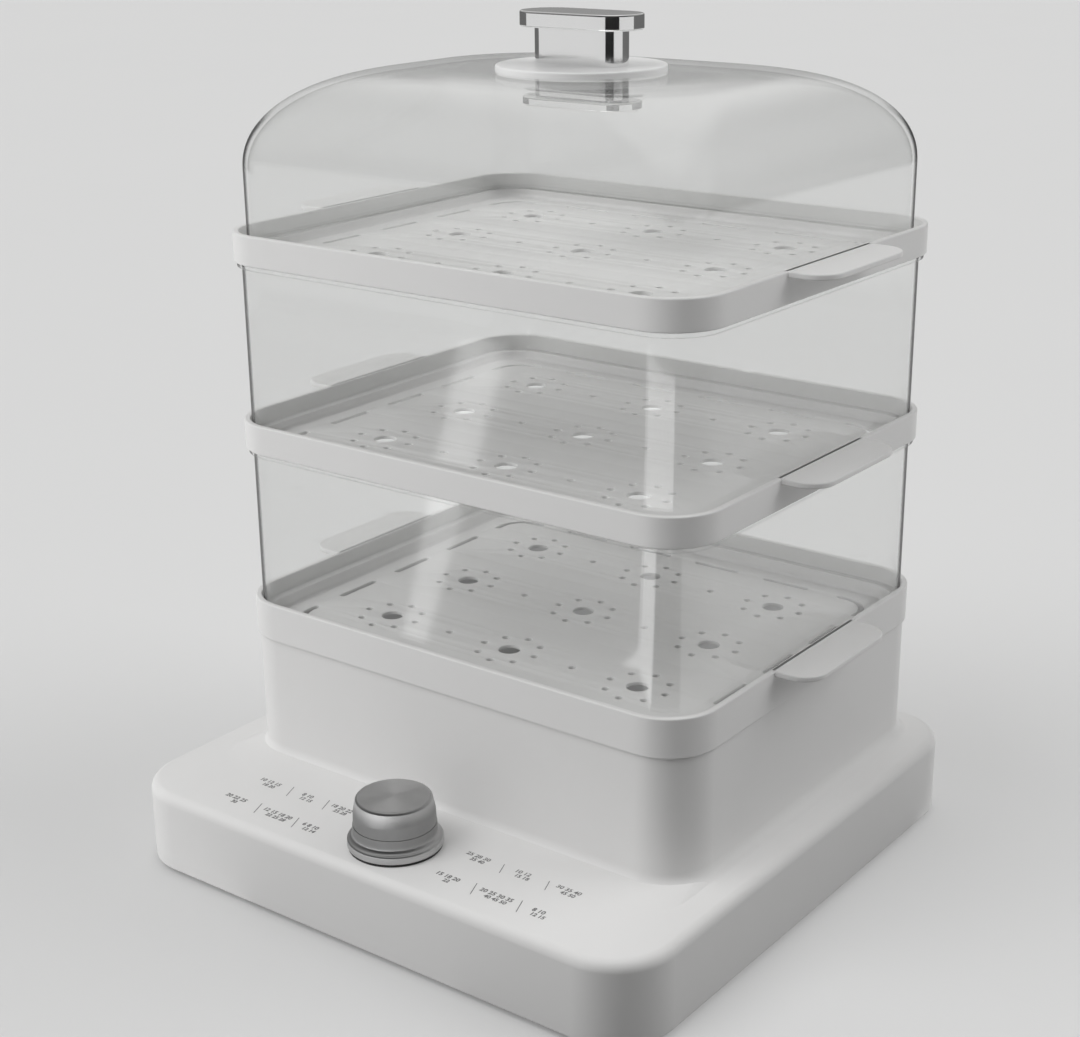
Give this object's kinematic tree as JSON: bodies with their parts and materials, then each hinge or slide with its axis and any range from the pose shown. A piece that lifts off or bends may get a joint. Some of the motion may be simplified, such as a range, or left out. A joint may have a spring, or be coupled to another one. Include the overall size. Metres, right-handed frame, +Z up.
{
  "type": "electric food steamer",
  "caption": "White base with a metal timer knob, perforated trays with side grips stacked between clear chambers, and a clear domed lid with a metal handle.",
  "frame": {"origin": "on the table, under the middle of the base slab", "axes": "+Z up, -Y to the front with the knob, +X to the right seen from the front"},
  "size_m": [0.344, 0.333, 0.4528],
  "materials": {
    "white_plastic": "satin white",
    "tank_plastic": "satin white",
    "clear_plastic": "clear moulded plastic",
    "chrome": "polished",
    "knob_metal": "spun, bright",
    "steel": "brushed",
    "aluminium": "plain",
    "silicone": "matte",
    "ceramic": "matte ceramic",
    "black_plastic": "matte",
    "black_rubber": "matte"
  },
  "bodies": {
    "base": {"casing": "white_plastic", "base_cover": "white_plastic", "reservoir": "tank_plastic", "heater_plate": "steel", "heater_seal": "silicone", "clamp_ring": "aluminium", "heating_tube": "steel", "thermostat": "steel", "thermal_fuse": "ceramic", "timer_body": "black_plastic", "knob_collar": "black_plastic", "cord_gland": "black_rubber", "terminal_block": "black_plastic", "foot_1": "black_rubber", "cover_screw_1": "steel", "clamp_screw_1": "steel", "foot_2": "black_rubber", "cover_screw_2": "steel", "clamp_screw_2": "steel", "foot_3": "black_rubber", "cover_screw_3": "steel", "clamp_screw_3": "steel", "foot_4": "black_rubber", "cover_screw_4": "steel", "clamp_screw_4": "steel", "timer_screw_1": "steel", "timer_screw_2": "steel"},
    "knob": {"timer_shaft": "steel", "knob_core": "black_plastic", "knob_skirt": "knob_metal", "knob_cap": "knob_metal"},
    "steam_ring": {"steam_ring": "tank_plastic"},
    "lowest_tray": {"tray_1": "white_plastic"},
    "lower_chamber": {"chamber_1": "clear_plastic"},
    "middle_tray": {"tray_2": "white_plastic"},
    "upper_chamber": {"chamber_2": "clear_plastic"},
    "top_tray": {"tray_3": "white_plastic"},
    "lid": {"lid_shell": "clear_plastic", "handle_plate": "chrome", "handle_stem": "chrome", "handle_inner": "chrome", "handle_screw_1": "steel", "handle_screw_2": "steel"}
  },
  "joints": [
    {"name": "timer_turn", "type": "hinge", "parent": "base", "child": "knob", "pos_m": [0, -0.1345, 0.0485], "axis": [0, 0, -1], "range_deg": [0, 300]},
    {"name": "steam_ring_lift", "type": "slide", "parent": "base", "child": "steam_ring", "axis": [0, 0, 1], "range_m": [0, 0.025]},
    {"name": "lowest_tray_lift", "type": "slide", "parent": "base", "child": "lowest_tray", "axis": [0, 0, 1], "range_m": [0, 0.15]},
    {"name": "lower_chamber_lift", "type": "slide", "parent": "lowest_tray", "child": "lower_chamber", "axis": [0, 0, 1], "range_m": [0, 0.12]},
    {"name": "middle_tray_lift", "type": "slide", "parent": "lower_chamber", "child": "middle_tray", "axis": [0, 0, 1], "range_m": [0, 0.12]},
    {"name": "upper_chamber_lift", "type": "slide", "parent": "middle_tray", "child": "upper_chamber", "axis": [0, 0, 1], "range_m": [0, 0.12]},
    {"name": "top_tray_lift", "type": "slide", "parent": "upper_chamber", "child": "top_tray", "axis": [0, 0, 1], "range_m": [0, 0.12]},
    {"name": "lid_lift", "type": "slide", "parent": "top_tray", "child": "lid", "axis": [0, 0, 1], "range_m": [0, 0.15]}
  ]
}
